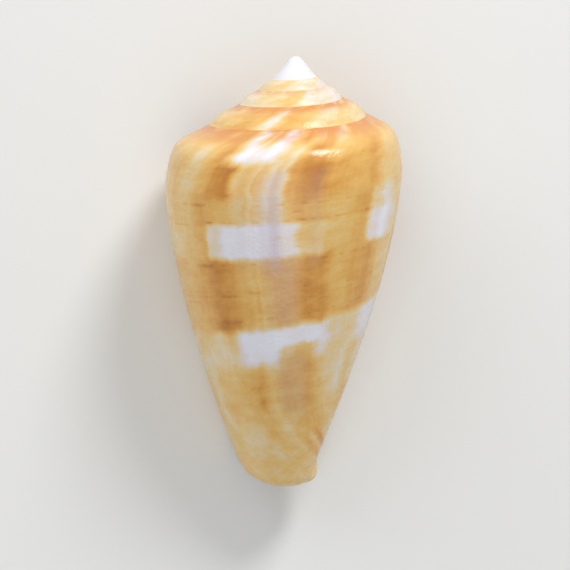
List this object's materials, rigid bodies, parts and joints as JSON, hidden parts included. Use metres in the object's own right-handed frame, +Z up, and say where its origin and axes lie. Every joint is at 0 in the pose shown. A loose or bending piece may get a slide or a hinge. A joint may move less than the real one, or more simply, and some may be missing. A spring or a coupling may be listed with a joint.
{
  "type": "cone shell",
  "caption": "Cone snail shell with a raised stepped spire, rounded shoulder, tapering body whorl, long narrow aperture and open base canal, lying on its aperture.",
  "frame": {"origin": "centre of the footprint, on the surface that the shell lies on", "axes": "+Z up through the shell's back, +Y towards the spire's tip, +X to the right of someone looking down with the spire ahead"},
  "size_m": [0.0216, 0.0398, 0.0191],
  "materials": {
    "shell": "gloss"
  },
  "bodies": {
    "root": {"shell": "shell"}
  },
  "joints": []
}
